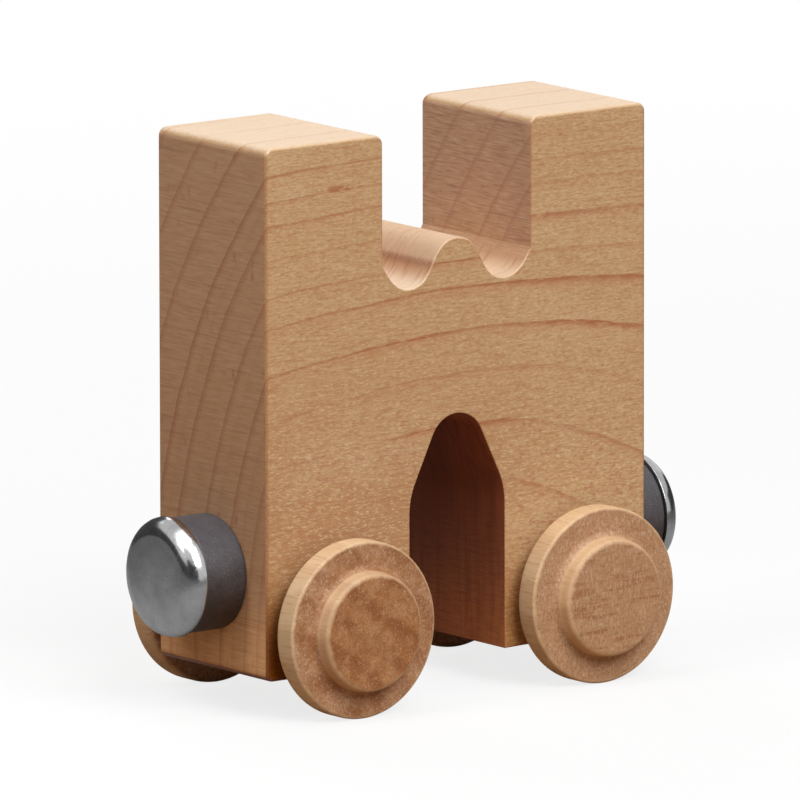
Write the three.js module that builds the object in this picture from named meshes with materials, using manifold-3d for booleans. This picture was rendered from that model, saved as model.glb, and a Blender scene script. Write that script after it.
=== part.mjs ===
import * as THREE from "three";
import { mergeVertices } from "three/addons/utils/BufferGeometryUtils.js";
import Module from "manifold-3d";

// A wooden letter car for a toy railway, in millimetres.
// +X runs along the car, the letter reads from the -Y side, +Z is up and the wheels stand on Z = 0.

// Wooden block
const blockLength = 50.8;
const blockThickness = 19.05;
const blockHeight = 57.15;
const blockCornerRadius = 1;
const blockEdgeRadius = 0.4;

// Saddle cut between the two towers: a trough along each tower's wall and a middle peak between them
const saddleWidth = 19.75;
const saddleDepth = 16.95;
const saddleMouthRadius = 1;
const troughInset = 3.425;
const troughCornerRise = 2.85;
const middlePeakRise = 4.95;

// Fullness of the saddle's curves: the share of its span over which each one starts level
const troughFullness = 0.55;
const peakFullness = 0.59;

// Pointed arch cut from the underside
const archWidth = 12.7;
const archHeight = 26.2;
const archPeakRadius = 3.56;
const archShoulderRadius = 8;
const archFlankLean = THREE.MathUtils.degToRad(25.7);

// Axles: dowels that turn in cross bores of the block
const axleInset = 9.3;
const axleAboveUnderside = 5.3;
const axleDiameter = 4.75;
const axleRunningGap = 0.3;
const axleEndChamfer = 0.4;

// Wheels: a rim with a stepped hub outside and a rub boss towards the block
const wheelDiameter = 19.05;
const wheelSidePlay = 0.3;
const rubBossDiameter = 9;
const rubBossLength = 1.4;
const rimWidth = 3.05;
const rimInnerEdgeRadius = 0.75;
const rimOuterEdgeRadius = 0.35;
const hubDiameter = 12.7;
const hubLength = 2.05;
const hubEdgeRadius = 0.6;
const hubCoveRadius = 0.8;
const hubSkin = 1.5;
const axleGlueGap = 0.1;
const axleEndGap = 0.3;

// Couplers: a ring magnet under a plated cap, held by the cap's own nail
const couplerAboveAxle = 5.4;
const couplerDiameter = 12.7;
const magnetThickness = 5.4;
const magnetEdgeChamfer = 0.2;
const capSkirt = 0.4;
const capRimRadius = 1.9;
const nailDiameter = 2.8;
const nailDepth = 12.7;
const nailPointLength = 2.5;
const nailGapInMagnet = 0.3;
const nailGapInWood = 0.1;

// Fineness of the round shapes
const roundSegments = 36;
const boreSegments = 24;
const arcSegments = 6;
const edgeSegments = 3;

// Cuts run this far past the face that they open
const cutOvershoot = 1;

// Heights above the ground
const axleHeight = wheelDiameter / 2;
const couplerHeight = axleHeight + couplerAboveAxle;
const blockBottom = axleHeight - axleAboveUnderside;
const blockTop = blockBottom + blockHeight;

// Places along X, outwards from the car's middle
const blockEnd = blockLength / 2;
const axlePlace = blockEnd - axleInset;

// Places along Y, outwards from the block's middle plane to each face of a wheel
const rubFace = blockThickness / 2 + wheelSidePlay;
const rimInnerFace = rubFace + rubBossLength;
const rimOuterFace = rimInnerFace + rimWidth;
const hubFace = rimOuterFace + hubLength;
const boreFloor = hubFace - hubSkin;

const wasm = await Module();
wasm.setup();

const maple = new THREE.MeshStandardMaterial({ color: 0xc9986a, roughness: 0.6, metalness: 0 });
const turnedMaple = new THREE.MeshStandardMaterial({ color: 0xcfa06c, roughness: 0.65, metalness: 0 });
const birchDowel = new THREE.MeshStandardMaterial({ color: 0xd6b084, roughness: 0.65, metalness: 0 });
const ferrite = new THREE.MeshStandardMaterial({ color: 0x4a4448, roughness: 0.7, metalness: 0.1 });
const platedSteel = new THREE.MeshStandardMaterial({ color: 0xb4b6b8, roughness: 0.2, metalness: 1 });

// A closed geometry as a solid that can be joined and cut.
function solidOf(geometry) {
  const bare = geometry.clone();
  bare.deleteAttribute("normal");
  bare.deleteAttribute("uv");
  const merged = mergeVertices(bare);
  return new wasm.Manifold(
    new wasm.Mesh({
      numProp: 3,
      vertProperties: merged.attributes.position.array,
      triVerts: new Uint32Array(merged.index.array),
    }),
  );
}

function geometryOf(solid) {
  const mesh = solid.getMesh();
  const geometry = new THREE.BufferGeometry();
  geometry.setAttribute("position", new THREE.BufferAttribute(mesh.vertProperties, mesh.numProp));
  geometry.setIndex(new THREE.BufferAttribute(mesh.triVerts, 1));
  geometry.computeVertexNormals();
  return geometry;
}

// An outline drawn in X and Z, cut right across the block along Y.
function crossCut(shape) {
  const length = blockThickness + 2 * cutOvershoot;
  const geometry = new THREE.ExtrudeGeometry(shape, {
    depth: length,
    bevelEnabled: false,
    curveSegments: arcSegments,
  });
  geometry.rotateX(Math.PI / 2);
  geometry.translate(0, length / 2, 0);
  return solidOf(geometry);
}

// The bore that an axle turns in, right across the block along Y: side is -1 at the front and 1 at the rear.
function axleBore(side) {
  const radius = axleDiameter / 2 + axleRunningGap;
  const length = blockThickness + 2 * cutOvershoot;
  const geometry = new THREE.CylinderGeometry(radius, radius, length, boreSegments);
  geometry.translate(side * axlePlace, 0, axleHeight);
  return solidOf(geometry);
}

// The saddle's outline, from the mouth beside one tower down, across the troughs and up beside the other.
function saddleOutline() {
  const wall = saddleWidth / 2;
  const mouth = wall + saddleMouthRadius;
  const mouthFoot = blockTop - saddleMouthRadius;
  const floor = blockTop - saddleDepth;
  const wallFoot = floor + troughCornerRise;
  const trough = wall - troughInset;
  const troughControl = trough + troughFullness * troughInset;
  const peak = floor + middlePeakRise;
  const peakControl = peakFullness * trough;
  const shape = new THREE.Shape();
  shape.moveTo(-mouth, blockTop + cutOvershoot);
  shape.lineTo(-mouth, blockTop);
  shape.absarc(-mouth, mouthFoot, saddleMouthRadius, Math.PI / 2, 0, true);
  shape.lineTo(-wall, wallFoot);
  shape.quadraticCurveTo(-troughControl, floor, -trough, floor);
  shape.bezierCurveTo(peakControl - trough, floor, -peakControl, peak, 0, peak);
  shape.bezierCurveTo(peakControl, peak, trough - peakControl, floor, trough, floor);
  shape.quadraticCurveTo(troughControl, floor, wall, wallFoot);
  shape.lineTo(wall, mouthFoot);
  shape.absarc(mouth, mouthFoot, saddleMouthRadius, Math.PI, Math.PI / 2, true);
  shape.lineTo(mouth, blockTop + cutOvershoot);
  return shape;
}

// The arch's outline: upright walls, rounded shoulders, leaning flanks and a round peak.
function archOutline() {
  const halfWidth = archWidth / 2;
  const peakZ = blockBottom + archHeight - archPeakRadius;
  const flankTopX = archPeakRadius * Math.cos(archFlankLean);
  const flankTopZ = peakZ + archPeakRadius * Math.sin(archFlankLean);
  const shoulderX = halfWidth - archShoulderRadius;
  const flankFootX = shoulderX + archShoulderRadius * Math.cos(archFlankLean);
  const flankFootZ = flankTopZ - (flankFootX - flankTopX) / Math.tan(archFlankLean);
  const shoulderZ = flankFootZ - archShoulderRadius * Math.sin(archFlankLean);
  const shape = new THREE.Shape();
  shape.moveTo(halfWidth, blockBottom - cutOvershoot);
  shape.lineTo(halfWidth, shoulderZ);
  shape.absarc(shoulderX, shoulderZ, archShoulderRadius, 0, archFlankLean, false);
  shape.absarc(0, peakZ, archPeakRadius, archFlankLean, Math.PI - archFlankLean, false);
  shape.absarc(-shoulderX, shoulderZ, archShoulderRadius, Math.PI - archFlankLean, Math.PI, false);
  shape.lineTo(-halfWidth, blockBottom - cutOvershoot);
  return shape;
}

// The hole for a cap nail, from one end of the block inwards: side is -1 at the front and 1 at the rear.
function nailHole(side) {
  const radius = nailDiameter / 2 + nailGapInWood;
  const depth = nailDepth + nailGapInWood;
  const length = depth + cutOvershoot;
  const geometry = new THREE.CylinderGeometry(radius, radius, length, boreSegments);
  geometry.rotateZ(Math.PI / 2);
  geometry.translate(side * (blockEnd - depth + length / 2), 0, couplerHeight);
  return solidOf(geometry);
}

// The block before it is cut, seen from the front: a rectangle with rounded corners.
function blankOutline() {
  const radius = blockCornerRadius;
  const right = Math.PI / 2;
  const cornerX = blockEnd - radius;
  const cornerLow = blockBottom + radius;
  const cornerHigh = blockTop - radius;
  const shape = new THREE.Shape();
  shape.moveTo(-cornerX, blockBottom);
  shape.lineTo(cornerX, blockBottom);
  shape.absarc(cornerX, cornerLow, radius, -right, 0, false);
  shape.lineTo(blockEnd, cornerHigh);
  shape.absarc(cornerX, cornerHigh, radius, 0, right, false);
  shape.lineTo(-cornerX, blockTop);
  shape.absarc(-cornerX, cornerHigh, radius, right, 2 * right, false);
  shape.lineTo(-blockEnd, cornerLow);
  shape.absarc(-cornerX, cornerLow, radius, 2 * right, 3 * right, false);
  return shape;
}

function blank() {
  const depth = blockThickness - 2 * blockEdgeRadius;
  const geometry = new THREE.ExtrudeGeometry(blankOutline(), {
    depth,
    curveSegments: arcSegments,
    bevelThickness: blockEdgeRadius,
    bevelSize: blockEdgeRadius,
    bevelOffset: -blockEdgeRadius,
    bevelSegments: edgeSegments,
  });
  geometry.rotateX(Math.PI / 2);
  geometry.translate(0, depth / 2, 0);
  return solidOf(geometry);
}

function letterBlock() {
  let solid = blank().subtract(crossCut(saddleOutline())).subtract(crossCut(archOutline()));
  for (const side of [-1, 1]) {
    solid = solid.subtract(axleBore(side)).subtract(nailHole(side));
  }
  return geometryOf(solid);
}

// A round stretch of a turned profile, from one angle to another about its centre.
function arcPoints(radialCentre, axialCentre, radius, fromAngle, toAngle, segments) {
  const points = [];
  for (let i = 0; i <= segments; i++) {
    const angle = fromAngle + ((toAngle - fromAngle) * i) / segments;
    points.push(
      new THREE.Vector2(radialCentre + radius * Math.cos(angle), axialCentre + radius * Math.sin(angle)),
    );
  }
  return points;
}

// A wheel turned about Y, facing +Y: from the bore's floor over the rub boss, rim and hub to the hub's face.
function wheel() {
  const rimRadius = wheelDiameter / 2;
  const innerEdge = rimRadius - rimInnerEdgeRadius;
  const outerEdge = rimRadius - rimOuterEdgeRadius;
  const hubRadius = hubDiameter / 2;
  const coveRadius = Math.min(hubCoveRadius, outerEdge - hubRadius);
  const coveEdge = hubRadius + coveRadius;
  const boreRadius = axleDiameter / 2 + axleGlueGap;
  const right = Math.PI / 2;
  const profile = [
    new THREE.Vector2(0, boreFloor),
    new THREE.Vector2(boreRadius, boreFloor),
    new THREE.Vector2(boreRadius, rubFace),
    new THREE.Vector2(rubBossDiameter / 2, rubFace),
    new THREE.Vector2(rubBossDiameter / 2, rimInnerFace),
    ...arcPoints(innerEdge, rimInnerFace + rimInnerEdgeRadius, rimInnerEdgeRadius, -right, 0, edgeSegments),
    ...arcPoints(outerEdge, rimOuterFace - rimOuterEdgeRadius, rimOuterEdgeRadius, 0, right, edgeSegments),
    ...arcPoints(coveEdge, rimOuterFace + coveRadius, coveRadius, -right, -Math.PI, edgeSegments),
    ...arcPoints(hubRadius - hubEdgeRadius, hubFace - hubEdgeRadius, hubEdgeRadius, 0, right, edgeSegments),
    new THREE.Vector2(0, hubFace),
  ];
  return new THREE.LatheGeometry(profile, roundSegments);
}

// An axle dowel along Y, with chamfered ends just short of the bottom of each wheel's bore.
function axle() {
  const radius = axleDiameter / 2;
  const end = boreFloor - axleEndGap;
  const profile = [
    new THREE.Vector2(0, -end),
    new THREE.Vector2(radius - axleEndChamfer, -end),
    new THREE.Vector2(radius, axleEndChamfer - end),
    new THREE.Vector2(radius, end - axleEndChamfer),
    new THREE.Vector2(radius - axleEndChamfer, end),
    new THREE.Vector2(0, end),
  ];
  return new THREE.LatheGeometry(profile, boreSegments);
}

// A ring magnet turned about Y, seated at Y = 0, with its outer edges chamfered.
function magnet() {
  const radius = couplerDiameter / 2;
  const holeRadius = nailDiameter / 2 + nailGapInMagnet;
  const profile = [
    new THREE.Vector2(holeRadius, 0),
    new THREE.Vector2(radius - magnetEdgeChamfer, 0),
    new THREE.Vector2(radius, magnetEdgeChamfer),
    new THREE.Vector2(radius, magnetThickness - magnetEdgeChamfer),
    new THREE.Vector2(radius - magnetEdgeChamfer, magnetThickness),
    new THREE.Vector2(holeRadius, magnetThickness),
    new THREE.Vector2(holeRadius, 0),
  ];
  return new THREE.LatheGeometry(profile, roundSegments);
}

// A cap nail turned about Y: its point in the wood below Y = 0, its cap on the magnet's outer face.
function capNail() {
  const capRadius = couplerDiameter / 2;
  const shankRadius = nailDiameter / 2;
  const rimFoot = magnetThickness + capSkirt;
  const profile = [
    new THREE.Vector2(0, -nailDepth),
    new THREE.Vector2(shankRadius, nailPointLength - nailDepth),
    new THREE.Vector2(shankRadius, magnetThickness),
    new THREE.Vector2(capRadius, magnetThickness),
    ...arcPoints(capRadius - capRimRadius, rimFoot, capRimRadius, 0, Math.PI / 2, arcSegments),
    new THREE.Vector2(0, rimFoot + capRimRadius),
  ];
  return new THREE.LatheGeometry(profile, roundSegments);
}

function addPart(group, name, geometry, material) {
  const mesh = new THREE.Mesh(geometry, material);
  mesh.name = name;
  group.add(mesh);
  return mesh;
}

const letterCar = new THREE.Group();
addPart(letterCar, "letter_block", letterBlock(), maple);

const ends = [
  { name: "front", side: -1 },
  { name: "rear", side: 1 },
];
for (const { name, side } of ends) {
  const wheelset = new THREE.Group();
  wheelset.position.set(side * axlePlace, 0, axleHeight);
  addPart(wheelset, `${name}_axle`, axle(), birchDowel);
  addPart(wheelset, `${name}_right_wheel`, wheel(), turnedMaple);
  addPart(wheelset, `${name}_left_wheel`, wheel(), turnedMaple).rotation.z = Math.PI;
  letterCar.add(wheelset);

  const coupler = new THREE.Group();
  coupler.position.set(side * blockEnd, 0, couplerHeight);
  coupler.rotation.z = (-side * Math.PI) / 2;
  addPart(coupler, `${name}_magnet`, magnet(), ferrite);
  addPart(coupler, `${name}_cap_nail`, capNail(), platedSteel);
  letterCar.add(coupler);
}

export default letterCar;
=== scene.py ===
"""A wooden letter train car: maple block, turned wheels and capped magnets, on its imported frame."""

import math
from collections import namedtuple
from types import SimpleNamespace

import bmesh
import bpy
from mathutils import Matrix, Vector


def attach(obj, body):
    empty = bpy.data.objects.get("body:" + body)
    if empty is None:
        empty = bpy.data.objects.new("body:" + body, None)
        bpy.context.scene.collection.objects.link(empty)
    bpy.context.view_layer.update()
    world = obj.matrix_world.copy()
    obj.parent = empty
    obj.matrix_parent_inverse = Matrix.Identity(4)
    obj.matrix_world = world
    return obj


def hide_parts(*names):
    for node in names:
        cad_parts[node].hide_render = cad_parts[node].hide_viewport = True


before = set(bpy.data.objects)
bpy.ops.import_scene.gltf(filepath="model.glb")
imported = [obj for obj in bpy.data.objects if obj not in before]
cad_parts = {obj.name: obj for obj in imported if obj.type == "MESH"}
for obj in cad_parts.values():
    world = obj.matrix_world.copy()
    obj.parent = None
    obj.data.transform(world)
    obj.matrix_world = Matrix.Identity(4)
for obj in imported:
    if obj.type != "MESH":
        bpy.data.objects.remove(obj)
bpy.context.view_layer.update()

MM = 0.001
MM_PER_METRE = 1000.0

# Block sizes, in metres like every size here
BLOCK_LENGTH = 50.8 * MM
BLOCK_END = BLOCK_LENGTH / 2
BLOCK_THICKNESS = 19.05 * MM
BLOCK_BOTTOM = 4.225 * MM
BLOCK_TOP = 61.375 * MM
BLOCK_CORNER_RADIUS = 1.0 * MM
BLOCK_EDGE_RADIUS = 0.4 * MM
SADDLE_EDGE_RADIUS = 0.2 * MM
ARCH_EDGE_RADIUS = 0.12 * MM
EDGE_TAPER = 2.5 * MM

# Saddle between the two towers
SADDLE_WALL = 9.875 * MM
SADDLE_DEPTH = 16.95 * MM
SADDLE_MOUTH_RADIUS = 1.0 * MM
TROUGH_INSET = 3.425 * MM
TROUGH_CORNER_RISE = 2.85 * MM
MIDDLE_PEAK_RISE = 4.95 * MM
TROUGH_FULLNESS = 0.55
PEAK_FULLNESS = 0.59

# Pointed arch between the two legs
ARCH_HALF_WIDTH = 6.35 * MM
ARCH_HEIGHT = 26.2 * MM
ARCH_PEAK_RADIUS = 3.56 * MM
ARCH_SHOULDER_RADIUS = 8.0 * MM
ARCH_FLANK_LEAN = math.radians(25.7)

# Wheels and axles
AXLE_PLACE = 16.1 * MM
AXLE_HEIGHT = 9.525 * MM
AXLE_BORE_RADIUS = 2.675 * MM
RUB_FACE = 9.825 * MM
BOSS_LENGTH = 1.4 * MM
RIM_RADIUS = 9.525 * MM
RIM_WIDTH = 3.05 * MM
RIM_OUTER_EDGE = 0.35 * MM
HUB_RADIUS = 6.35 * MM
HUB_LENGTH = 2.05 * MM
HUB_EDGE = 0.6 * MM
HUB_SKIN = 1.5 * MM
RIM_FACE = RUB_FACE + BOSS_LENGTH + RIM_WIDTH
BORE_FLOOR = RIM_FACE + HUB_LENGTH - HUB_SKIN

# Couplers
COUPLER_HEIGHT = 14.925 * MM
MAGNET_THICKNESS = 5.4 * MM
NAIL_RADIUS = 1.4 * MM
NAIL_HOLE_RADIUS = 1.5 * MM
NAIL_HOLE_DEPTH = 12.7 * MM
NAIL_CLEARANCE = 0.6 * MM

# Fineness of the meshes
CORNER_STEPS = 8
EDGE_STEPS = 6
ARCH_EDGE_STEPS = 4
SHOULDER_STEPS = 10
PEAK_STEPS = 16
TROUGH_STEPS = 14
RISE_STEPS = 26
BORE_SEGMENTS = 48
NAIL_HOLE_SEGMENTS = 24
TURNED_SEGMENTS = 96
FILLET_STEPS = 6
SEAM_WIDTH = 0.0001 * MM
ROW_NUDGE = 1e-4
BLOCK_SHARP_ANGLE = math.radians(24)
TURNED_SHARP_ANGLE = math.radians(28)


def srgb(red, green, blue):
    """A colour given as 0 to 255 on screen, as the linear numbers that shaders take."""
    channels = []
    for level in (red, green, blue):
        share = level / 255
        channels.append(share / 12.92 if share <= 0.04045 else ((share + 0.055) / 1.055) ** 2.4)
    return (*channels, 1.0)


# Noise drawn out along a grain: waves per millimetre along X, Y and Z, a shift, and how fine it is
Grain = namedtuple("Grain", "stretch shift detail roughness", defaults=(None, 2.0, 0.5))

# One layer of a finish: how it mixes, its tone, its share, and the span of a value in which it sets in
Layer = namedtuple("Layer", "mode tone share span")


def tint(tone, share=1.0, span=None):
    """A layer that blends a surface towards a tone."""
    return Layer("MIX", srgb(*tone), share, span)


def shade(tone, share=1.0, span=None):
    """A layer that multiplies a surface by a tone."""
    return Layer("MULTIPLY", srgb(*tone), share, span)


class Flow:
    """A node's output in one tree. Arithmetic adds Math nodes, and node() adds any other node."""

    def __init__(self, tree, socket=None):
        self.tree = tree
        self.socket = socket

    def node(self, kind, settings=None, inputs=None, out=0):
        made = self.tree.nodes.new(kind)
        for name, value in (settings or {}).items():
            if name == "stops":
                fill_ramp(made.color_ramp, value)
            elif name == "curve":
                fill_curve(made.mapping, value)
            elif name == "items":
                while len(made.index_switch_items) < value:
                    made.index_switch_items.new()
            else:
                setattr(made, name, value)
        for name, value in (inputs or {}).items():
            if isinstance(value, Flow):
                self.tree.links.new(value.socket, made.inputs[name])
            else:
                made.inputs[name].default_value = value
        return Flow(self.tree, made.outputs[out] if made.outputs else None)

    def maths(self, operation, *others):
        return self.node("ShaderNodeMath", {"operation": operation}, dict(enumerate((self, *others))))

    def __add__(self, other):
        return self.maths("ADD", other)

    def __sub__(self, other):
        return self.maths("SUBTRACT", other)

    def __mul__(self, other):
        return self.maths("MULTIPLY", other)

    def __truediv__(self, other):
        return self.maths("DIVIDE", other)

    def __pow__(self, other):
        return self.maths("POWER", other)

    def __neg__(self):
        return self.maths("MULTIPLY", -1.0)

    __radd__ = __add__
    __rmul__ = __mul__

    def __rsub__(self, other):
        return self.node("ShaderNodeMath", {"operation": "SUBTRACT"}, {0: other, 1: self})

    def limited(self, low, high):
        """This number, kept from low to high."""
        return self.maths("MAXIMUM", low).maths("MINIMUM", high)

    def step(self, low, high):
        """0 below low and 1 above high, eased in between; low may be the larger."""
        inputs = {"Value": self, "From Min": low, "From Max": high}
        return self.node("ShaderNodeMapRange", {"interpolation_type": "SMOOTHSTEP"}, inputs)

    def between(self, low, high):
        """A number that goes from low to high as this one goes from 0 to 1."""
        return low + (high - low) * self

    def curve(self, points):
        """The height of a line through the given points, above this number."""
        return self.node("ShaderNodeFloatCurve", {"curve": points}, {"Value": self})

    def parts(self):
        """The three numbers of a vector."""
        split = self.node("ShaderNodeSeparateXYZ", None, {0: self})
        outputs = split.socket.node.outputs
        return [Flow(self.tree, outputs[axis]) for axis in range(3)]

    def joined(self, x, y, z):
        return self.node("ShaderNodeCombineXYZ", None, {0: x, 1: y, 2: z})

    def stretched(self, x, y, z):
        """This vector with each axis multiplied by its own number."""
        return self.node("ShaderNodeVectorMath", {"operation": "MULTIPLY"}, {0: self, 1: (x, y, z)})

    def in_millimetres(self):
        return self.stretched(MM_PER_METRE, MM_PER_METRE, MM_PER_METRE)

    def grain(self, grain):
        """Noise along a grain at this place, about 0 to 1 round a middle of one half."""
        place = self.stretched(*grain.stretch)
        if grain.shift:
            place = place.node("ShaderNodeVectorMath", {"operation": "ADD"}, {0: place, 1: grain.shift})
        inputs = {"Vector": place, "Scale": 1.0, "Detail": grain.detail, "Roughness": grain.roughness}
        return self.node("ShaderNodeTexNoise", None, inputs)

    def mixed(self, other, share, mode="MIX"):
        """This colour mixed with another by a share from 0 to 1."""
        settings = {"data_type": "RGBA", "blend_type": mode}
        return self.node("ShaderNodeMix", settings, {0: share, 6: self, 7: other}, out=2)

    def painted(self, layer, value=None, where=1.0):
        """This colour under a layer, as far as a value is in the layer's span and a mask allows."""
        share = layer.share * where
        if value is not None:
            share = value.step(*layer.span) * share
        return self.mixed(layer.tone, share, layer.mode)

    def even(self, tone):
        """One colour all over, to paint on."""
        colour = self.node("ShaderNodeRGB")
        colour.socket.default_value = srgb(*tone)
        return colour

    def bump(self, height, strength, depth):
        """A surface normal with fine relief."""
        inputs = {"Strength": strength, "Distance": depth, "Height": height}
        return self.node("ShaderNodeBump", None, inputs)


def fill_ramp(ramp, stops):
    """Sets a colour ramp's stops, each a place and a tone."""
    while len(ramp.elements) < len(stops):
        ramp.elements.new(1.0)
    for element, (place, tone) in zip(ramp.elements, stops):
        element.position = place
        element.color = srgb(*tone)


def fill_curve(mapping, points):
    """Draws straight lines through the given points on a float curve."""
    curve = mapping.curves[0]
    curve.points[0].location = points[0]
    curve.points[1].location = points[-1]
    for place in points[1:-1]:
        curve.points.new(*place)
    for point in curve.points:
        point.handle_type = "VECTOR"
    mapping.update()


def new_material(name, **constants):
    """A material with its shader's fixed values set, the start of its node flow and its shader."""
    material = bpy.data.materials.new(name)
    material.use_nodes = True
    shader = material.node_tree.nodes["Principled BSDF"]
    for socket, value in constants.items():
        shader.inputs[socket.replace("_", " ")].default_value = value
    return material, Flow(material.node_tree), shader


def feed(shader, **flows):
    """Links flows to the shader's sockets."""
    tree = shader.id_data
    for socket, flow in flows.items():
        tree.links.new(flow.socket, shader.inputs[socket.replace("_", " ")])


def object_place(flow):
    """Where a point lies on the car, in millimetres."""
    return flow.node("ShaderNodeTexCoord", out="Object").in_millimetres()


def facing(flow):
    """The three parts of the direction that a surface faces."""
    return flow.node("ShaderNodeTexCoord", out="Normal").parts()


def stored(flow, name, out="Fac"):
    """A value that the mesh carries at each point."""
    return flow.node("ShaderNodeAttribute", {"attribute_name": name}, out=out)


def distance(a, b):
    """How far a point lies from an axis, from its two distances across it."""
    return (a * a + b * b).maths("SQRT")


# Growth rings of the block, in millimetres: where the board's pith lay and each ring's radius about it
PITH_ASIDE = -70.0
PITH_HEIGHT = 4.225
RING_RADII = (
    56.0, 58.2, 60.3, 62.4, 64.6, 66.7, 68.8, 71.4, 73.2, 75.5, 77.8, 79.4, 81.2, 86.4, 91.6, 96.8, 102.0,
)
LEFT_RING_STRENGTH = (
    0.4, 0.5, 0.3, 0.5, 0.85, 0.4, 1.0, 0.75, 0.85, 0.4, 0.8, 1.0, 0.85, 0.9, 0.8, 0.9, 0.8,
)
RIGHT_RING_STRENGTH = (
    0.4, 0.5, 0.3, 0.5, 0.85, 0.4, 0.85, 0.75, 0.3, 0.65, 0.35, 0.7, 0.3, 0.75, 0.8, 0.9, 0.8,
)
END_RING_STRENGTH = (
    0.3, 0.4, 0.3, 0.5, 0.7, 0.25, 0.9, 0.15, 0.9, 0.1, 0.9, 0.15, 1.0, 1.0, 0.9, 0.9, 0.8,
)
LAST_RING = len(RING_RADII) - 1

# How the board's rings bow along its length, most at its middle height, and drop towards its right foot
RING_BOWS = (0.75, 1.15)
RING_BOW_MIDDLE = 3.0
RING_BOW_REACH = 28.4
RING_BOW_FROM = (26.0, 37.0)
RING_BOW_UNTIL = (50.0, 38.0)
RING_BOW_SHIFT = 11.0
RING_BOW_SHIFTED = (44.0, 50.0)
RING_DROP = 1.5
RING_DROP_START = 6.0
RING_DROP_REACH = 19.0
RING_DROP_BEND = 1.4
RING_DROP_BELOW = 44.2
RING_DROP_DEPTH = 18.0
RING_WANDER = Grain((0.03, 0.06, 0.06))
RING_WANDER_REACH = 0.7
RING_RIPPLE = Grain((0.1, 0.7, 0.7), detail=3.0, roughness=0.6)
RING_RIPPLE_REACH = 0.4

# Lines that end the rings, as shares of a ring, narrower where the rings lie flat to the face
LINE_SLANT = 1.6
LEAST_SLANT = 0.35
WIDE_RINGS = (82.0, 82.5)
WIDE_RING_LINE = 0.38
LINE_WIDTHS = (0.12, 0.22)
HALO_WIDTH = 0.5
LINE_GAP = 0.05
LINE_CLOSE = (1.0, 0.98)
LINE_PATCHES = Grain((0.06, 0.15, 0.15), (31.0, 7.0, 3.0))
LINE_PATCH_SPAN = (0.3, 0.68)
LINE_PATCH_SHARES = (0.4, 1.0)
RAGGED_GRAIN = Grain((0.7, 3.5, 3.5), detail=3.0, roughness=0.7)
LINE_RAGGED_SPAN = (0.22, 0.6)
LATE_SPAN = (0.35, 1.0)
LATE_SHARES = (0.3, 1.0)

# Which face of the block a point is on, by the direction it faces and by its place
TOP_FACES = (0.5, 0.95)
UPPER_EDGES = (0.1, 0.45)
FRONT_FACE = (-0.5, -0.9)
END_FACES = (0.82, 0.97)
CUT_FACES = (0.8, 0.4)
ARCH_INSIDE = (6.9, 6.5)
ARCH_BELOW = (31.5, 30.7)
SADDLE_INSIDE = (9.99, 9.9)
SADDLE_ABOVE = (40.0, 43.0)
WALL_ASIDE = (6.5, 8.5)
WALL_ABOVE = (45.2, 48.4)
RIGHT_HALF = (3.0, 10.0)
LOWER_HALF = (38.0, 22.0)

# Grains of the block
BLOCK_GRAINS = {
    "fibre": Grain((0.3, 4.2, 4.2), detail=4.0, roughness=0.7),
    "broad": Grain((0.03, 0.11, 0.11), (5.0, 2.0, 9.0), 3.0),
    "grit": Grain((1.9, 7.5, 7.5), roughness=0.7),
    "specks": Grain((1.1, 3.0, 3.0), (3.0, 8.0, 2.0), roughness=0.7),
    "sanding": Grain((0.2, 1.9, 0.2), (4.0, 1.0, 7.0), 3.0, 0.65),
    "saw": Grain((0.3, 0.35, 4.6), detail=3.0, roughness=0.65),
    "scratch": Grain((0.3, 0.07, 2.8), (0.0, 7.0, 0.5), 1.0),
    "spots": Grain((0.5, 0.9, 0.45), (1.0, 4.0, 6.0), 1.0),
    "pores": Grain((0.5, 5.5, 5.5), roughness=0.7),
    "streaks": Grain((0.9, 0.9, 0.08), detail=3.0, roughness=0.6),
}

# Long grain on the block's front, back and tops, with painted shade low on the left and a painted sheen
# on the tops; a pair of shares is for a mask at 0 and at 1
PALE = (233, 204, 161)
FLECK = (191, 132, 92)
RING_RED = (174, 98, 60)
SIDE_WOOD = (213, 176, 131)
LATE_WOOD = tint((207, 161, 120), 0.3)
# Painted shade: the sides darken towards the bottom, over all but the block's right end
LOWER_LEFT_PAINTED_SHADE = shade((239, 225, 218), span=(48.0, 14.0))
LOWER_LEFT_SIDE = (14.0, 0.0)
PALE_CLOUDS = tint(PALE, 0.35, (0.45, 0.75))
FIBRES = shade((236, 218, 200), 0.9, (0.4, 0.68))
PALE_GRIT = tint(PALE, span=(0.48, 0.3))
PALE_GRIT_SHARES = (0.65, 0.9)
FLECKS = tint(FLECK, 0.85, (0.52, 0.72))
SPECKS = tint((193, 130, 103), span=(0.56, 0.72))
SPECK_SHARES = (0.36, 0.86)
# Painted sheen: the tops outside the saddle are blended towards a pale tone
TOP_PAINTED_SHEEN = tint((247, 226, 201), 0.5)
RING_HALO = tint((201, 140, 96), 0.5)
TOP_HALO = 0.4
RING_LINE = tint(RING_RED)
TOP_LINE = 0.55
MINERAL_MARK = tint(RING_RED, 0.7, (1.0, 0.2))
MARK_X, MARK_Z = -15.5, 56.2
MARK_LENGTH, MARK_HEIGHT = 2.2, 0.5
MARK_RAGGED_SPAN = (0.3, 0.6)
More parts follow.
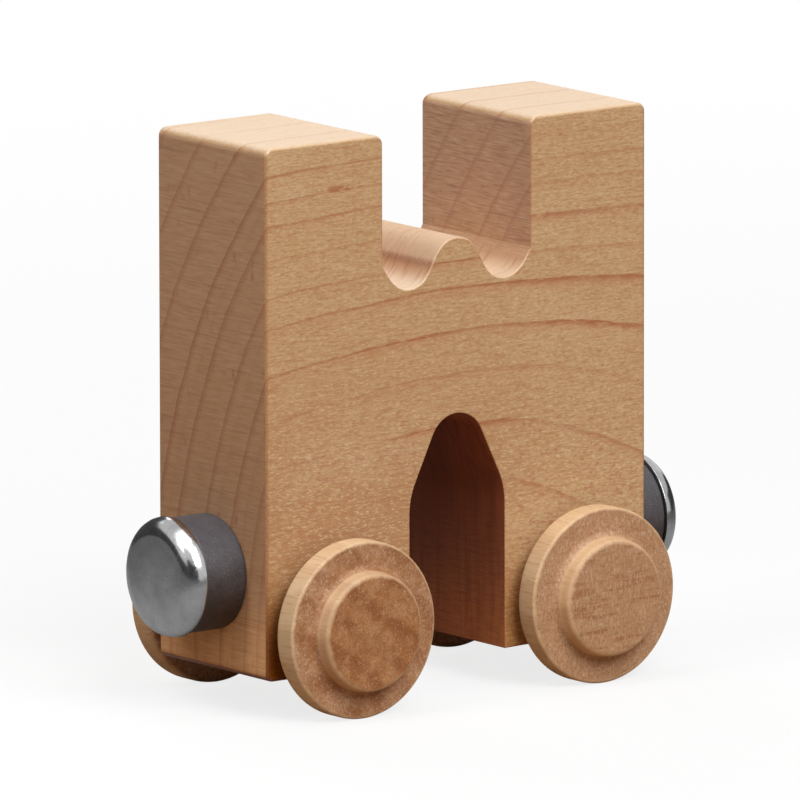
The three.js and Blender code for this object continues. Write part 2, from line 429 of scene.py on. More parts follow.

# Sawn wood of the saddle, with painted shade on its right and towards its walls, and painted light low in
# its troughs
SAWN_WOOD = tint((240, 208, 178), 0.6)
SADDLE_RIGHT_PAINTED_SHADE = shade((238, 236, 232), span=(1.0, 4.0))
SADDLE_WALL_PAINTED_SHADE = shade((230, 212, 196), span=(5.6, 9.6))
# Painted light: the troughs paler low down, most on the left
TROUGH_FLOOR_PAINTED_LIGHT = tint((255, 233, 204), span=(46.2, 44.5))
TROUGH_RIGHT = (0.0, 3.0)
TROUGH_SHARES = (0.75, 0.35)
SANDING_MARKS = shade((216, 186, 162), span=(0.48, 0.68))
SANDED_BELOW = (48.0, 46.5)
SANDED_SHARES = (0.25, 0.55)
STREAK = tint((158, 102, 72), 0.5, (47.4, 46.9))
STREAK_LEFT = (-0.6, -1.6)
STREAK_ABOVE = (45.9, 46.8)
STREAK_RAGGED_SPAN = (0.25, 0.5)
BELOW_STREAK = shade((228, 196, 172), 0.6, (47.2, 46.6))
BELOW_STREAK_ABOVE = (44.8, 46.4)

# End grain of the block's two ends and of the saddle's walls, with painted shade lower down and painted
# light at the foot
END_RING = (172, 106, 80)
END_WOOD = (204, 160, 122)
END_LATE_WOOD = shade((236, 226, 218), 0.25)
SAW_SHARES = (0.24, 0.74)
DARK_SAW_MARKS = shade((192, 168, 150), span=(0.5, 0.66))
PALE_SAW_MARKS = tint((227, 196, 167), span=(0.48, 0.34))
PALE_SCRATCHES = tint((222, 184, 152), span=(0.66, 0.74))
DARK_SCRATCHES = tint((150, 100, 74), span=(0.36, 0.28))
PORES = tint(FLECK, 0.16, (0.6, 0.72))
END_SPOTS = tint(END_RING, 0.5, (0.67, 0.84))
END_RINGS = tint(END_RING)
END_LINE_SHARE = 0.3
END_HALO_SHARE = 0.4
# Painted shade darker downwards, then painted light that makes the foot paler than the wood's own tone
END_LOWER_PAINTED_SHADE = shade((238, 232, 224), span=(56.0, 15.0))
END_LOWER_ABOVE = (5.0, 16.0)
END_FOOT_PAINTED_LIGHT = Layer("MULTIPLY", (1.32, 1.26, 1.06, 1.0), 1.0, (15.0, 6.0))
TOWER_WALLS = tint((196, 157, 131), 0.4)

# Painted shade on the block's feet, and a painted highlight and painted shade on its rounded edges
FEET = (19.0, 4.5)
FEET_PAINTED_SHADE = shade((255, 236, 205))
RIGHT_FOOT = (6.0, 14.0)
RIGHT_FOOT_SHARE = 0.2
LEFT_CORNER_PAINTED_SHADE = shade((176, 142, 64), span=(-13.0, -22.0))
# Painted highlight on upward rounded edges and painted shade on the others
EDGE_PAINTED_HIGHLIGHT = tint((238, 208, 172), 0.3)
EDGE_PAINTED_SHADE = shade((214, 176, 144), 0.6)

# Inside of the arch, with painted shade that makes it browner and darkest at the top and towards the back
ARCH_PAINTED_SHADE = shade((212, 154, 120))
ARCH_LOWER = (24.0, 4.0)
ARCH_LOWER_SHARE = 0.62
ARCH_STREAKS = shade((190, 160, 145), 0.5, (0.4, 0.7))
ARCH_WARM_PAINTED_SHADE = shade((250, 232, 208))
ARCH_BACK_PAINTED_SHADE = shade((216, 208, 208), span=(-7.0, 3.0))
ARCH_SAW_MARKS = shade((212, 192, 184), 0.5, (0.46, 0.6))
ARCH_SAWN = (24.0, 14.0)

# Relief and gloss of the block
SANDED_ROUGHNESS = 0.28
FIBRE_ROUGHNESS = 0.14
SAWN_ROUGHNESS = 0.45
TOP_ROUGHNESS = 0.2
FIBRE_HEIGHT = 0.4
SAW_HEIGHTS = (0.4, 1.0)
LINE_HEIGHT = -0.35
PORE_HEIGHT = -0.3
BLOCK_RELIEF = 0.35
RELIEF_DEPTH = 0.06 * MM


def block_places(flow):
    """Where a point of the block lies, and how far each of its faces reaches there, from 0 to 1."""
    place = object_place(flow)
    x, y, z = place.parts()
    normal_x, normal_y, normal_z = facing(flow)
    aside = x.maths("ABSOLUTE")
    cut = normal_y.maths("ABSOLUTE").step(*CUT_FACES)
    saddle = aside.step(*SADDLE_INSIDE) * z.step(*SADDLE_ABOVE) * cut
    wall = aside.step(*WALL_ASIDE) * z.step(*WALL_ABOVE)
    end = normal_x.maths("ABSOLUTE").step(*END_FACES)
    return SimpleNamespace(
        place=place, x=x, y=y, z=z, aside=aside,
        saddle=saddle,
        wall=wall,
        end=end + (wall - end) * saddle,
        arch=aside.step(*ARCH_INSIDE) * z.step(*ARCH_BELOW) * cut,
        top=normal_z.step(*TOP_FACES),
        upper=normal_z.step(*UPPER_EDGES),
        front=normal_y.step(*FRONT_FACE),
        right=x.step(*RIGHT_HALF),
        lower=z.step(*LOWER_HALF),
    )


def ring_phase(at):
    """How many growth rings lie between the pith and a place, and how narrow the lines are there."""
    middle = at.z.step(*RING_BOW_FROM) * at.z.step(*RING_BOW_UNTIL)
    shift = RING_BOW_SHIFT * at.z.step(*RING_BOW_SHIFTED)
    along = (at.x - RING_BOW_MIDDLE - shift) / (RING_BOW_REACH + shift)
    bow = middle.between(*RING_BOWS) * (1 - along ** 2)
    drop_along = (at.x - RING_DROP_START) * (1 / RING_DROP_REACH)
    drop_along = drop_along.maths("MAXIMUM", 0.0) ** RING_DROP_BEND
    drop_down = (RING_DROP_BELOW - at.z) * (1 / RING_DROP_DEPTH)
    drop_down = drop_down.limited(0.0, 1.0) ** 2
    above = at.z - PITH_HEIGHT
    radius = distance(at.y - PITH_ASIDE, above)
    wander = (at.place.grain(RING_WANDER) - 0.5) * RING_WANDER_REACH
    ripple = (at.place.grain(RING_RIPPLE) - 0.5) * RING_RIPPLE_REACH
    bowed = radius - bow + RING_DROP * (drop_along * drop_down) + wander + ripple
    first = RING_RADII[0]
    span = RING_RADII[-1] - first
    points = [((ring - first) / span, number / LAST_RING) for number, ring in enumerate(RING_RADII)]
    phase = ((bowed - first) * (1 / span)).curve(points) * LAST_RING
    slant = (above * LINE_SLANT / radius).limited(LEAST_SLANT, 1.0)
    narrow = slant + (1 - slant) * at.end
    return phase, narrow * bowed.step(*WIDE_RINGS).between(1.0, WIDE_RING_LINE)


def growth_lines(at):
    """The fine line that ends each ring, the halo before it, the late wood, and how strong they are."""
    phase, narrow = ring_phase(at)
    ring = phase.maths("FLOOR")
    within = phase - ring
    next_ring = (ring + 1) * (1 / LAST_RING)
    levels = []
    for strengths in (LEFT_RING_STRENGTH, RIGHT_RING_STRENGTH, END_RING_STRENGTH):
        points = [(number / LAST_RING, strength) for number, strength in enumerate(strengths)]
        levels.append(next_ring.curve(points))
    left, right, end = levels
    strength = left + (right - left) * at.right
    strength = strength + (end - strength) * at.end
    patchy = at.place.grain(LINE_PATCHES).step(*LINE_PATCH_SPAN)
    ragged = at.place.grain(RAGGED_GRAIN)
    stop = 1 - LINE_GAP * narrow
    close = within.step(*LINE_CLOSE)
    line = within.step(1 - at.right.between(*LINE_WIDTHS) * narrow, stop) * close
    line = line * strength * patchy.between(*LINE_PATCH_SHARES) * ragged.step(*LINE_RAGGED_SPAN)
    halo = within.step(1 - HALO_WIDTH * narrow, stop) * close * strength
    late = within.step(*LATE_SPAN) * strength.between(*LATE_SHARES) * narrow
    return SimpleNamespace(line=line, halo=halo, late=late, patchy=patchy, ragged=ragged)


def side_wood(flow, at, rings, grains):
    """Sanded long grain: reddish growth lines over flecks, pale grit and fibres, with a painted sheen
    that makes the tops paler and painted shade low on the left.
    """
    wood = flow.even(SIDE_WOOD)
    wood = wood.painted(LATE_WOOD, where=rings.late)
    # painted shade, darker towards the bottom on all but the right end
    wood = wood.painted(LOWER_LEFT_PAINTED_SHADE, at.z, at.x.step(*LOWER_LEFT_SIDE))
    wood = wood.painted(PALE_CLOUDS, grains.broad)
    wood = wood.painted(FIBRES, grains.fibre)
    wood = wood.painted(PALE_GRIT, grains.grit, at.lower.between(*PALE_GRIT_SHARES))
    wood = wood.painted(FLECKS, grains.grit)
    wood = wood.painted(SPECKS, grains.specks, at.lower.between(*SPECK_SHARES))
    # painted sheen that makes the tops paler
    wood = wood.painted(TOP_PAINTED_SHEEN, where=at.top * (1 - at.saddle))
    wood = wood.painted(RING_HALO, where=rings.halo * rings.patchy * at.top.between(1.0, TOP_HALO))
    wood = wood.painted(RING_LINE, where=rings.line * at.top.between(1.0, TOP_LINE))
    along = (at.x - MARK_X) * (1 / MARK_LENGTH)
    up = (at.z - MARK_Z) * (1 / MARK_HEIGHT)
    oval = along ** 2 + up ** 2
    return wood.painted(MINERAL_MARK, oval, rings.ragged.step(*MARK_RAGGED_SPAN) * at.front)


def saddle_wood(wood, at, rings, grains):
    """The saddle's sawn wood: paler, sanded across, with a brown streak along its left trough, painted
    shade on its right and near its walls, and painted light low in its troughs.
    """
    wood = wood.painted(SAWN_WOOD, where=at.saddle)
    # painted shade on the saddle's right and towards its walls
    wood = wood.painted(SADDLE_RIGHT_PAINTED_SHADE, at.x, at.saddle)
    wood = wood.painted(SADDLE_WALL_PAINTED_SHADE, at.aside, at.saddle)
    # painted light low in the troughs
    wood = wood.painted(TROUGH_FLOOR_PAINTED_LIGHT, at.z, at.saddle * at.x.step(*TROUGH_RIGHT).between(*TROUGH_SHARES))
    sanded = at.z.step(*SANDED_BELOW).between(*SANDED_SHARES)
    wood = wood.painted(SANDING_MARKS, grains.sanding, at.saddle * (1 - at.wall) * sanded)
    left = at.saddle * at.x.step(*STREAK_LEFT)
    streak = at.z.step(*STREAK_ABOVE) * rings.ragged.step(*STREAK_RAGGED_SPAN)
    wood = wood.painted(STREAK, at.z, left * streak)
    return wood.painted(BELOW_STREAK, at.z, left * at.z.step(*BELOW_STREAK_ABOVE))


def end_wood(flow, at, rings, grains):
    """Sawn end grain: saw marks, scratches and pores over soft growth lines, with painted shade lower
    down and painted light that makes it paler at the foot.
    """
    outside = 1 - at.arch
    sawn = at.saddle.between(*SAW_SHARES) * outside
    lines = rings.line * END_LINE_SHARE + rings.halo * END_HALO_SHARE
    wood = flow.even(END_WOOD)
    wood = wood.painted(END_LATE_WOOD, where=rings.late)
    wood = wood.painted(DARK_SAW_MARKS, grains.saw, sawn)
    wood = wood.painted(PALE_SAW_MARKS, grains.saw, sawn)
    wood = wood.painted(PALE_SCRATCHES, grains.scratch, sawn)
    wood = wood.painted(DARK_SCRATCHES, grains.scratch, sawn)
    wood = wood.painted(PORES, grains.pores)
    wood = wood.painted(END_SPOTS, grains.spots, outside)
    wood = wood.painted(END_RINGS, where=lines * outside)
    # painted shade lower down and painted light at the foot
    wood = wood.painted(END_LOWER_PAINTED_SHADE, at.z, at.z.step(*END_LOWER_ABOVE))
    wood = wood.painted(END_FOOT_PAINTED_LIGHT, at.z)
    return wood.painted(TOWER_WALLS, where=at.saddle)


def painted_feet_and_edges(flow, wood, at):
    """Painted shade on the block's feet, warm and darkest at the left, and on its rounded edges a painted
    highlight above and painted shade below.
    """
    feet = at.z.step(*FEET) * (1 - at.end)
    # painted shade on the feet, warm, and darkest at the left corner
    wood = wood.painted(FEET_PAINTED_SHADE, where=feet * at.x.step(*RIGHT_FOOT).between(1.0, RIGHT_FOOT_SHARE))
    wood = wood.painted(LEFT_CORNER_PAINTED_SHADE, at.x, feet)
    edge = stored(flow, "rounding") * (1 - at.arch)
    # painted highlight on the upper edges and painted shade on the lower ones
    wood = wood.painted(EDGE_PAINTED_HIGHLIGHT, where=edge * at.upper)
    return wood.painted(EDGE_PAINTED_SHADE, where=edge * (1 - at.upper))


def arch_wood(wood, at, grains):
    """The arch's inside: painted shade makes it browner, darkest at the top and towards the back; it is
    streaked up and down.
    """
    # painted shade, darkest at the top, warmer all over, and darker towards the back
    wood = wood.painted(ARCH_PAINTED_SHADE, where=at.z.step(*ARCH_LOWER).between(1.0, ARCH_LOWER_SHARE))
    wood = wood.painted(ARCH_STREAKS, grains.streaks)
    wood = wood.painted(ARCH_WARM_PAINTED_SHADE)
    wood = wood.painted(ARCH_BACK_PAINTED_SHADE, at.y)
    return wood.painted(ARCH_SAW_MARKS, grains.saw, at.z.step(*ARCH_SAWN))


def maple_block():
    """Sanded maple with reddish growth lines on its sides, and sawn end grain on its ends."""
    material, flow, shader = new_material("block_maple", Specular_IOR_Level=0.5)
    at = block_places(flow)
    rings = growth_lines(at)
    grains = SimpleNamespace(**{name: at.place.grain(grain) for name, grain in BLOCK_GRAINS.items()})
    side = saddle_wood(side_wood(flow, at, rings, grains), at, rings, grains)
    wood = side.mixed(end_wood(flow, at, rings, grains), at.end)
    wood = painted_feet_and_edges(flow, wood, at)
    wood = wood.mixed(arch_wood(wood, at, grains), at.arch)
    sawn = at.end.maths("MAXIMUM", at.saddle).maths("MAXIMUM", at.arch)
    rough = SANDED_ROUGHNESS + FIBRE_ROUGHNESS * grains.fibre + SAWN_ROUGHNESS * sawn
    rough = rough + TOP_ROUGHNESS * at.top * (1 - at.saddle)
    height = (grains.fibre + grains.grit) * (1 - at.end) * FIBRE_HEIGHT
    height = height + grains.saw * at.end * at.saddle.between(*SAW_HEIGHTS)
    height = height + rings.line * LINE_HEIGHT + grains.pores * at.end * PORE_HEIGHT
    normal = flow.bump(height, BLOCK_RELIEF, RELIEF_DEPTH)
    feed(shader, Base_Color=wood, Roughness=rough, Normal=normal)
    return material


# Grains of the wheels, about the pith of the stick that they were turned from
WHEEL_GRAINS = {
    "wander": Grain((0.12, 0.03, 0.12)),
    "uneven": Grain((1.1, 0.1, 1.1), detail=3.0),
    "across": Grain((0.22, 0.1, 1.9)),
    "stripes": Grain((5.0, 0.2, 1.6), detail=3.0, roughness=0.65),
    "mottle": Grain((0.9, 0.08, 0.9), detail=5.0, roughness=0.7),
    "cloud": Grain((0.28, 0.05, 0.28), (2.0, 0.0, 5.0)),
    "fine": Grain((4.2, 0.3, 4.2), detail=3.0, roughness=0.7),
    "specks": Grain((2.4, 0.3, 2.4), (9.0, 0.0, 4.0), 3.0, 0.75),
}
WHEEL_RING_WIDTH = 3.4
WHEEL_RING_WANDER = 2.4
WHEEL_BAND_RISE = (0.1, 0.75)
WHEEL_BAND_FALL = (1.0, 0.8)

# Where a wheel's faces end, in millimetres from its axis and along it
TURNING_UNEVENNESS = 0.5
RIM_SIDE = (RIM_RADIUS - RIM_OUTER_EDGE) / MM
RIM_SIDE_SPAN = (RIM_SIDE - 0.1, RIM_SIDE + 0.35)
HUB_SIDE = (HUB_RADIUS - HUB_EDGE) / MM
HUB_SIDE_SPAN = (HUB_SIDE, HUB_SIDE + 0.5)
HUB_PROUD_SPAN = (RIM_FACE / MM + 0.2, RIM_FACE / MM + 0.6)
HUB_SIDE_SHARE = 0.75

# Faces of the wheels, where haze hides the mottling
WHEEL_FACE = (180, 130, 88)
HAZY_FACE = tint((189, 145, 106))
FACE_BANDS = shade((212, 184, 156), 0.8)
FACE_CLOUDS = tint((196, 152, 116), span=(0.44, 0.62))
FACE_CLOUD_SHARES = (0.65, 0.35)
HUB_STRIPES = shade((222, 196, 172), span=(0.5, 0.64))
HUB_STRIPE_INSIDE = (7.2, 5.6)
HUB_STRIPE_SHARES = (0.25, 0.8)
DARK_MOTTLE = tint((151, 98, 55), span=(0.5, 0.36))
DARK_MOTTLE_SHARES = (0.5, 0.0)
PALE_MOTTLE = tint((208, 168, 136), span=(0.5, 0.66))
PALE_MOTTLE_SHARES = (0.5, 0.2)
PALE_STRIPES = tint((228, 198, 168), span=(0.46, 0.68))
PALE_STRIPE_SHARES = (0.05, 0.47)
HUB_WARMTH = shade((242, 224, 192), span=(6.8, 6.2))
FACE_SPECKS = tint((242, 216, 190), span=(0.57, 0.68))
SPECK_CLUSTERS = (0.4, 0.65)
SPECK_CLUSTER_SHARES = (0.25, 1.0)
SPECK_OUTSIDE = (5.5, 6.6)
SPECK_OUTSIDE_SHARES = (0.4, 1.0)
SPECK_HAZE_SHARES = (0.7, 0.2)
PALE_FINE_GRAIN = tint((242, 220, 196), 0.6, (0.56, 0.75))
DARK_FINE_GRAIN = shade((198, 166, 136), 0.75, (0.46, 0.3))

# Turned sides of the wheels
WHEEL_SIDE = (230, 197, 157)
HAZY_SIDE = tint((236, 200, 156))
SIDE_FINE_GRAIN = shade((214, 186, 160), 0.55, (0.48, 0.7))
SIDE_BANDS = shade((222, 204, 190), 0.3)

# Relief and gloss of the wheels
WHEEL_ROUGHNESS = (0.5, 0.7)
WHEEL_RELIEF = 0.4
WHEEL_GRAIN_HEIGHT = 0.7
WHEEL_STRIPE_HEIGHT = 0.3
TOOL_MARK_HEIGHT = 0.06
TOOL_MARKS = 22.0


def wheel_faces(flow, grains, band, outward, haze):
    """Mottled end grain: pale specks on the rim's face, and a plainer, striped hub."""
    wood = flow.even(WHEEL_FACE)
    wood = wood.painted(HAZY_FACE, where=haze)
    wood = wood.painted(FACE_BANDS, where=band * (1 - haze))
    wood = wood.painted(FACE_CLOUDS, grains.cloud, haze.between(*FACE_CLOUD_SHARES))
    striped = outward.step(*HUB_STRIPE_INSIDE).between(*HUB_STRIPE_SHARES)
    wood = wood.painted(HUB_STRIPES, grains.across, haze * striped)
    wood = wood.painted(DARK_MOTTLE, grains.mottle, haze.between(*DARK_MOTTLE_SHARES))
    wood = wood.painted(PALE_MOTTLE, grains.mottle, haze.between(*PALE_MOTTLE_SHARES))
    wood = wood.painted(PALE_STRIPES, grains.stripes, haze.between(*PALE_STRIPE_SHARES))
    wood = wood.painted(HUB_WARMTH, outward, 1 - haze)
    clusters = grains.cloud.step(*SPECK_CLUSTERS).between(*SPECK_CLUSTER_SHARES)
    clusters = clusters * outward.step(*SPECK_OUTSIDE).between(*SPECK_OUTSIDE_SHARES)
    wood = wood.painted(FACE_SPECKS, grains.specks, clusters * haze.between(*SPECK_HAZE_SHARES))
    wood = wood.painted(PALE_FINE_GRAIN, grains.fine)
    return wood.painted(DARK_FINE_GRAIN, grains.fine)


def wheel_sides(flow, grains, band, haze):
    """The paler wood round the rim and the hub."""
    wood = flow.even(WHEEL_SIDE)
    wood = wood.painted(HAZY_SIDE, where=haze)
    wood = wood.painted(SIDE_FINE_GRAIN, grains.fine)
    return wood.painted(SIDE_BANDS, where=band)


def turned_maple():
    """Maple turned across its end grain: mottled tan faces flecked with pale specks, and paler rims."""
    material, flow, shader = new_material("wheel_maple", Specular_IOR_Level=0.4)
    stick = stored(flow, "grain_place", "Vector")
    haze = stored(flow, "haze")
    grains = SimpleNamespace(**{name: stick.grain(grain) for name, grain in WHEEL_GRAINS.items()})
    stick_x, _, stick_z = stick.parts()
    ring = distance(stick_x, stick_z) + (grains.wander - 0.5) * WHEEL_RING_WANDER
    within = (ring * (1 / WHEEL_RING_WIDTH)).maths("FRACT")
    band = within.step(*WHEEL_BAND_RISE) * within.step(*WHEEL_BAND_FALL)

    x, along, z = stored(flow, "turned_place", "Vector").parts()
    outward = distance(x, z)
    uneven = outward + (grains.uneven - 0.5) * TURNING_UNEVENNESS
    hub_side = uneven.step(*HUB_SIDE_SPAN) * along.step(*HUB_PROUD_SPAN)
    face = 1 - uneven.step(*RIM_SIDE_SPAN).maths("MAXIMUM", hub_side * HUB_SIDE_SHARE)

    faces = wheel_faces(flow, grains, band, outward, haze)
    wood = wheel_sides(flow, grains, band, haze).mixed(faces, face)
    tool_marks = (outward * TOOL_MARKS).maths("SINE") * TOOL_MARK_HEIGHT
    height = grains.fine * WHEEL_GRAIN_HEIGHT + (grains.stripes * WHEEL_STRIPE_HEIGHT + tool_marks) * face
    normal = flow.bump(height, WHEEL_RELIEF, RELIEF_DEPTH)
    feed(shader, Base_Color=wood, Roughness=grains.fine.between(*WHEEL_ROUGHNESS), Normal=normal)
    return material


# Axles
BIRCH_FIBRE = Grain((2.5, 0.12, 2.5), detail=4.0, roughness=0.6)
BIRCH_TONES = ((0.3, (200, 160, 112)), (0.7, (222, 186, 140)))
BIRCH_ROUGHNESS = (0.5, 0.7)
BIRCH_RELIEF = 0.3
BIRCH_RELIEF_DEPTH = 0.05 * MM


def birch_dowel():
    """Plain birch with its grain along the axle."""
    material, flow, shader = new_material("axle_birch", Specular_IOR_Level=0.4)
    fibre = object_place(flow).grain(BIRCH_FIBRE)
    wood = flow.node("ShaderNodeValToRGB", {"stops": BIRCH_TONES}, {"Fac": fibre})
    normal = flow.bump(fibre, BIRCH_RELIEF, BIRCH_RELIEF_DEPTH)
    feed(shader, Base_Color=wood, Roughness=fibre.between(*BIRCH_ROUGHNESS), Normal=normal)
    return material


# Magnets, with painted light on their tops and painted shade on their undersides
FERRITE_CLOUD = Grain((0.6, 0.6, 0.6), detail=4.0, roughness=0.6)
FERRITE_SPECKS = Grain((6.0, 6.0, 6.0), roughness=0.75)
FERRITE_TONES = ((0.25, (53, 48, 49)), (0.75, (80, 74, 76)))
FERRITE_BRIGHT_SPECKS = tint((146, 140, 142), 0.35, (0.52, 0.72))
FERRITE_DARK_SPECKS = tint((34, 30, 30), 0.5, (0.44, 0.28))
FERRITE_PAINTED_TOP_LIGHT = tint((90, 93, 102), 0.3, (-0.1, 0.7))
FERRITE_PAINTED_UNDERSIDE_SHADE = shade((184, 142, 108), span=(0.3, -0.7))
FERRITE_ROUGHNESS = (0.4, 0.6)
FERRITE_RELIEF = 0.4
FERRITE_RELIEF_DEPTH = 0.05 * MM


def ferrite():
    """Pressed dark ferrite: grainy, with painted light that makes it faintly blue where it faces up, and
    painted shade that makes it browner where it faces down.
    """
    material, flow, shader = new_material("magnet_ferrite", Specular_IOR_Level=0.5)
    place = object_place(flow)
    upward = facing(flow)[2]
    specks = place.grain(FERRITE_SPECKS)
    stone = flow.node("ShaderNodeValToRGB", {"stops": FERRITE_TONES}, {"Fac": place.grain(FERRITE_CLOUD)})
    stone = stone.painted(FERRITE_BRIGHT_SPECKS, specks)
    stone = stone.painted(FERRITE_DARK_SPECKS, specks)
    # painted light on the top and painted shade underneath
    stone = stone.painted(FERRITE_PAINTED_TOP_LIGHT, upward)
    stone = stone.painted(FERRITE_PAINTED_UNDERSIDE_SHADE, upward)
    normal = flow.bump(specks, FERRITE_RELIEF, FERRITE_RELIEF_DEPTH)
    feed(shader, Base_Color=stone, Roughness=specks.between(*FERRITE_ROUGHNESS), Normal=normal)
    return material


# Caps
STEEL_CLOUD = Grain((0.4, 0.4, 0.4), detail=4.0, roughness=0.65)
STEEL_SCUFFS = Grain((1.0, 5.0, 0.8), detail=4.0, roughness=0.7)
STEEL_TONES = ((0.3, (160, 160, 161)), (0.7, (186, 186, 187)))
SCUFF_SPAN = (0.5, 0.75)
STEEL_SCUFFED = shade((226, 226, 227), 0.6, SCUFF_SPAN)
POLISHED_ROUGHNESS = 0.1
CLOUD_ROUGHNESS = 0.14
SCUFF_ROUGHNESS = 0.12
SCUFF_HEIGHT = 0.3
CLOUD_HEIGHT = 2.0
STEEL_RELIEF = 0.2


def plated_steel():
    """Polished plating with faint scuffs and clouding."""
    material, flow, shader = new_material("cap_plated_steel", Metallic=1.0)
    place = object_place(flow)
    cloud = place.grain(STEEL_CLOUD)
    scuff = place.grain(STEEL_SCUFFS)
    steel = flow.node("ShaderNodeValToRGB", {"stops": STEEL_TONES}, {"Fac": cloud})
    steel = steel.painted(STEEL_SCUFFED, scuff)
    rough = POLISHED_ROUGHNESS + CLOUD_ROUGHNESS * cloud + SCUFF_ROUGHNESS * scuff.step(*SCUFF_SPAN)
    normal = flow.bump(scuff * SCUFF_HEIGHT + cloud * CLOUD_HEIGHT, STEEL_RELIEF, RELIEF_DEPTH)
    feed(shader, Base_Color=steel, Roughness=rough, Normal=normal)
    return material


def arc(centre_x, centre_z, radius, start, end, steps):
    """Points on an arc in X and Z, both ends included."""
    points = []
    for number in range(steps + 1):
        angle = start + (end - start) * number / steps
        points.append((centre_x + radius * math.cos(angle), centre_z + radius * math.sin(angle)))
    return points


def bezier(*controls, steps):
    """Points on a curve of three or four control points, without its first."""
    points = []
    for number in range(1, steps + 1):
        share = number / steps
        level = [Vector(control) for control in controls]
        while len(level) > 1:
            level = [a.lerp(b, share) for a, b in zip(level, level[1:])]
        points.append((level[0].x, level[0].y))
    return points


def saddle_half():
    """The saddle's right half from the tower's wall to the middle peak."""
    floor = BLOCK_TOP - SADDLE_DEPTH
    wall_foot = floor + TROUGH_CORNER_RISE
    peak = floor + MIDDLE_PEAK_RISE
    trough = SADDLE_WALL - TROUGH_INSET
    trough_control = trough + TROUGH_FULLNESS * TROUGH_INSET
    peak_control = PEAK_FULLNESS * trough
    foot = (SADDLE_WALL, wall_foot)
    lowest = (trough, floor)
    corner = bezier(foot, (trough_control, floor), lowest, steps=TROUGH_STEPS)
    rise_controls = ((trough - peak_control, floor), (peak_control, peak))
    rise = bezier(lowest, *rise_controls, (0.0, peak), steps=RISE_STEPS)
    return [foot] + corner + rise


def arch_half():
    """The arch's left half from its springing up to the peak."""
    lean = ARCH_FLANK_LEAN
    peak_z = BLOCK_BOTTOM + ARCH_HEIGHT - ARCH_PEAK_RADIUS
    shoulder_x = ARCH_HALF_WIDTH - ARCH_SHOULDER_RADIUS
    flank_top_x = ARCH_PEAK_RADIUS * math.cos(lean)
    flank_top_z = peak_z + ARCH_PEAK_RADIUS * math.sin(lean)
    flank_foot_x = shoulder_x + ARCH_SHOULDER_RADIUS * math.cos(lean)
    flank_foot_z = flank_top_z - (flank_foot_x - flank_top_x) / math.tan(lean)
    shoulder_z = flank_foot_z - ARCH_SHOULDER_RADIUS * math.sin(lean)
    shoulder = arc(-shoulder_x, shoulder_z, ARCH_SHOULDER_RADIUS, math.pi, math.pi - lean, SHOULDER_STEPS)
    peak = arc(0.0, peak_z, ARCH_PEAK_RADIUS, math.pi - lean, math.pi / 2, PEAK_STEPS)
    return shoulder + peak


def block_outline():
    """The letter's outline from the front, anticlockwise, each point with the radius of its edge."""
    corner = BLOCK_CORNER_RADIUS
    edge = BLOCK_EDGE_RADIUS
    arch_edge = ARCH_EDGE_RADIUS
    saddle_edge = SADDLE_EDGE_RADIUS
    quarter = math.pi / 2
    left = -BLOCK_END + corner
    low = BLOCK_BOTTOM + corner
    high = BLOCK_TOP - corner
    outline = []

    def add(points, first, last=None):
        last = first if last is None else last
        for number, (x, z) in enumerate(points):
            share = number / max(1, len(points) - 1)
            outline.append((x, z, first + (last - first) * share))

    arch = arch_half()
    arch_foot = BLOCK_BOTTOM + arch_edge
    foot_x = -ARCH_HALF_WIDTH - arch_edge
    add(arc(left, low, corner, 2 * quarter, 3 * quarter, CORNER_STEPS), edge)
    add([(foot_x - EDGE_TAPER, BLOCK_BOTTOM)], edge)
    add(arc(foot_x, arch_foot, arch_edge, 3 * quarter, 4 * quarter, ARCH_EDGE_STEPS), arch_edge)
    add(arch, arch_edge)
    add([(-x, z) for x, z in reversed(arch[:-1])], arch_edge)
    add(arc(-foot_x, arch_foot, arch_edge, 2 * quarter, 3 * quarter, ARCH_EDGE_STEPS), arch_edge)
    add([(EDGE_TAPER - foot_x, BLOCK_BOTTOM)], edge)
    add(arc(-left, low, corner, 3 * quarter, 4 * quarter, CORNER_STEPS), edge)
    add(arc(-left, high, corner, 0.0, quarter, CORNER_STEPS), edge)
    mouth = SADDLE_WALL + SADDLE_MOUTH_RADIUS
    mouth_foot = BLOCK_TOP - SADDLE_MOUTH_RADIUS
    right_mouth = arc(mouth, mouth_foot, SADDLE_MOUTH_RADIUS, quarter, 2 * quarter, CORNER_STEPS)
    left_mouth = arc(-mouth, mouth_foot, SADDLE_MOUTH_RADIUS, 0.0, quarter, CORNER_STEPS)
    saddle = saddle_half()
    add(right_mouth, edge, saddle_edge)
    add(saddle, saddle_edge)
    add([(-x, z) for x, z in reversed(saddle[:-1])], saddle_edge)
    add(left_mouth, saddle_edge, edge)
    add(arc(left, high, corner, quarter, 2 * quarter, CORNER_STEPS), edge)
    return outline


def inward_normals(outline):
    """The unit direction into the wood at each point of an anticlockwise outline."""
    count = len(outline)
    normals = []
    for number, (x, z, _) in enumerate(outline):
        before = Vector(outline[number - 1][:2])
        after = Vector(outline[(number + 1) % count][:2])
        here = Vector((x, z))
        turn = (here - before).normalized() + (after - here).normalized()
        normals.append(Vector((-turn.y, turn.x)).normalized())
    return normals


def finished_mesh(name, made):
    """A mesh from what was made, which is then let go."""
    mesh = bpy.data.meshes.new(name)
    made.to_mesh(mesh)
    made.free()
    return mesh


def link(name, data):
    """An object in the scene that holds the given mesh, lamp or camera."""
    obj = bpy.data.objects.new(name, data)
    bpy.context.scene.collection.objects.link(obj)
    return obj


def settle(obj):
    """Turns an object with modifiers into a plain mesh with none."""
    graph = bpy.context.evaluated_depsgraph_get()
    mesh = bpy.data.meshes.new_from_object(obj.evaluated_get(graph), depsgraph=graph)
    mesh.name = obj.name
    obj.modifiers.clear()
    obj.data = mesh
    return obj


